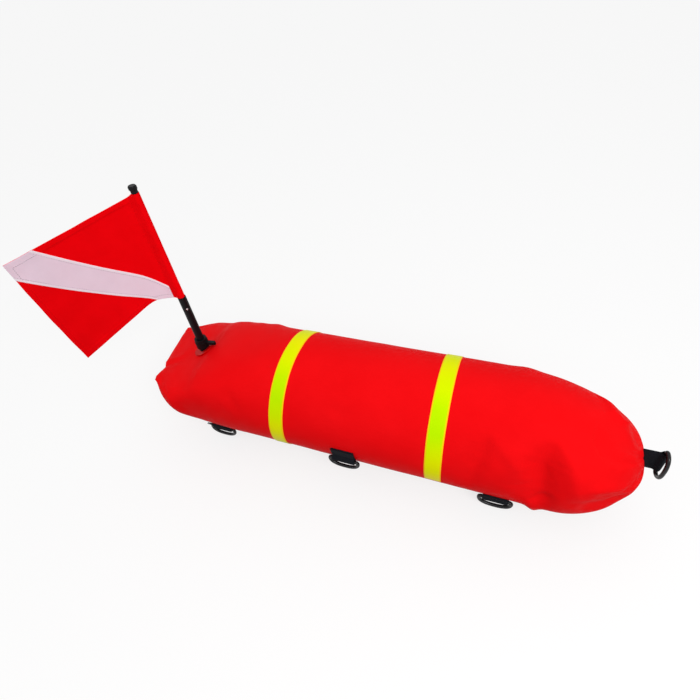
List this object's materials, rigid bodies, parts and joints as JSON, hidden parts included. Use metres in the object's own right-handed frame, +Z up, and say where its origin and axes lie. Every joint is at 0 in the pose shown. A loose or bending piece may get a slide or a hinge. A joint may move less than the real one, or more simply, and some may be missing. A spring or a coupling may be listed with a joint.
{
  "type": "dive flag float",
  "caption": "Red inflatable dive float with a flag on a short pole, reflective tape, webbing tabs with D-rings, a tow ring and an oral valve.",
  "frame": {"origin": "middle of the flat patch that the float rests on, under its axis", "axes": "+Z up; +X along the float from the flag end to the tow end; -Y towards the side with the near row of D-rings"},
  "size_m": [0.8916, 0.257, 0.4575],
  "materials": {
    "red_nylon": "red coated nylon cloth",
    "white_nylon": "white nylon band, sewn on",
    "tape": "yellow-green reflective tape",
    "webbing": "black woven webbing",
    "ring_plastic": "glossy black",
    "red_plastic": "moulded red, satin",
    "black_plastic": "satin black",
    "black_rubber": "matt black",
    "grey_plastic": "satin grey",
    "black_fibre": "satin black glass-fibre",
    "bright_steel": "bright rivet",
    "bladder_film": "grey welded film"
  },
  "bodies": {
    "float": {"cover": "red_nylon", "air_bladder": "bladder_film", "tape_flag_end": "tape", "tape_tow_end": "tape", "near_tab_1": "webbing", "near_tab_2": "webbing", "near_tab_3": "webbing", "far_tab_1": "webbing", "far_tab_2": "webbing", "far_tab_3": "webbing", "tow_tab": "webbing", "socket_flange": "red_plastic", "socket_stem": "black_plastic", "gland_ring": "black_rubber", "valve_flange": "black_plastic", "valve_stem": "black_plastic", "valve_flap": "black_rubber"},
    "lock_collar": {"lock_collar": "black_plastic"},
    "pole": {"pole_tube": "black_fibre", "pole_rod": "black_fibre", "pole_rivet": "bright_steel", "pole_knob": "black_plastic"},
    "flag": {"flag_cloth": "red_nylon", "flag_band_front": "white_nylon", "flag_band_back": "white_nylon"},
    "tow_ring": {"tow_ring": "ring_plastic"},
    "valve_mouthpiece": {"valve_mouthpiece": "black_rubber"},
    "valve_lock_ring": {"valve_lock_ring": "grey_plastic"},
    "near_ring_1": {"near_ring_1": "ring_plastic"},
    "near_ring_2": {"near_ring_2": "ring_plastic"},
    "near_ring_3": {"near_ring_3": "ring_plastic"},
    "far_ring_1": {"far_ring_1": "ring_plastic"},
    "far_ring_2": {"far_ring_2": "ring_plastic"},
    "far_ring_3": {"far_ring_3": "ring_plastic"}
  },
  "joints": [
    {"name": "collar_turn", "type": "hinge", "parent": "float", "child": "lock_collar", "pos_m": [-0.3035, 0, 0.16], "axis": [0, 0, 1], "range_deg": [0, 90]},
    {"name": "pole_slide", "type": "slide", "parent": "float", "child": "pole", "axis": [0, 0, 1], "range_m": [0, 0.06]},
    {"name": "flag_swing", "type": "hinge", "parent": "pole", "child": "flag", "pos_m": [-0.3035, 0, 0.357], "axis": [0, 0, 1], "range_deg": [-200, 124]},
    {"name": "tow_ring_swing", "type": "hinge", "parent": "float", "child": "tow_ring", "pos_m": [0.43632, 0, 0.102], "axis": [0, 0, 1], "range_deg": [-70, 240]},
    {"name": "mouthpiece_push", "type": "slide", "parent": "float", "child": "valve_mouthpiece", "axis": [0, 0.9976, 0.0698], "range_m": [-0.005, 0]},
    {"name": "valve_lock_turn", "type": "hinge", "parent": "float", "child": "valve_lock_ring", "pos_m": [0.05, 0.10973, 0.10467], "axis": [0, 0.9976, 0.0698], "range_deg": [0, 180]},
    {"name": "near_ring_1_swing", "type": "hinge", "parent": "float", "child": "near_ring_1", "pos_m": [-0.261, -0.07568, 0.02392], "axis": [1, 0, 0], "range_deg": [-134, 49]},
    {"name": "near_ring_2_swing", "type": "hinge", "parent": "float", "child": "near_ring_2", "pos_m": [-0.004, -0.10005, 0.06449], "axis": [1, 0, 0], "range_deg": [-160, 23]},
    {"name": "near_ring_3_swing", "type": "hinge", "parent": "float", "child": "near_ring_3", "pos_m": [0.232, -0.08059, 0.02938], "axis": [1, 0, 0], "range_deg": [-138, 45]},
    {"name": "far_ring_1_swing", "type": "hinge", "parent": "float", "child": "far_ring_1", "pos_m": [-0.261, 0.07568, 0.02392], "axis": [1, 0, 0], "range_deg": [-49, 134]},
    {"name": "far_ring_2_swing", "type": "hinge", "parent": "float", "child": "far_ring_2", "pos_m": [-0.004, 0.10005, 0.06449], "axis": [1, 0, 0], "range_deg": [-23, 160]},
    {"name": "far_ring_3_swing", "type": "hinge", "parent": "float", "child": "far_ring_3", "pos_m": [0.232, 0.08059, 0.02938], "axis": [1, 0, 0], "range_deg": [-45, 138]}
  ]
}
